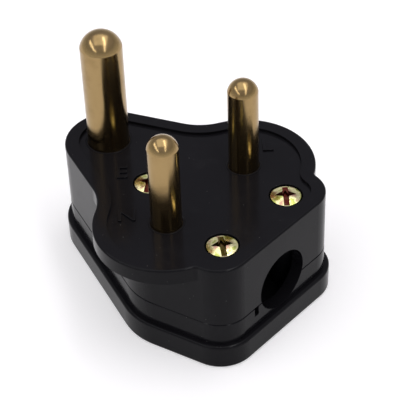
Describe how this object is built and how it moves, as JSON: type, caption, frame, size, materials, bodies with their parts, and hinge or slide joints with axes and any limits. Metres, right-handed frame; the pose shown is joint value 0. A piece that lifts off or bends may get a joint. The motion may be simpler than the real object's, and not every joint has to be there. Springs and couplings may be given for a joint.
{
  "type": "type d plug",
  "caption": "Rewirable mains plug with three round brass pins, the large earth pin opposite the cord, on a black two-part moulded body with thin finger ears.",
  "frame": {"origin": "on the flat back face, midway between the line and neutral pins", "axes": "+Z out of the pin face, the way the pins point; +Y to the earth pin, away from the cord entry; +X to the line pin"},
  "size_m": [0.043, 0.0473, 0.042],
  "materials": {
    "moulding": "glossy moulded thermoset",
    "clamp": "moulded",
    "brass": "turned and polished",
    "screw": "yellow zinc plated"
  },
  "bodies": {
    "root": {"pin_base": "moulding", "back_cover": "moulding", "cord_clamp": "clamp", "cover_insert_left": "brass", "cover_insert_right": "brass", "cover_insert_centre": "brass", "cover_screw_left": "screw", "cover_screw_right": "screw", "cover_screw_centre": "screw", "cord_clamp_screw_left": "screw", "cord_clamp_screw_right": "screw", "earth_pin": "brass", "line_pin": "brass", "neutral_pin": "brass", "earth_terminal_screw": "brass", "line_terminal_screw": "brass", "neutral_terminal_screw": "brass"}
  },
  "joints": []
}
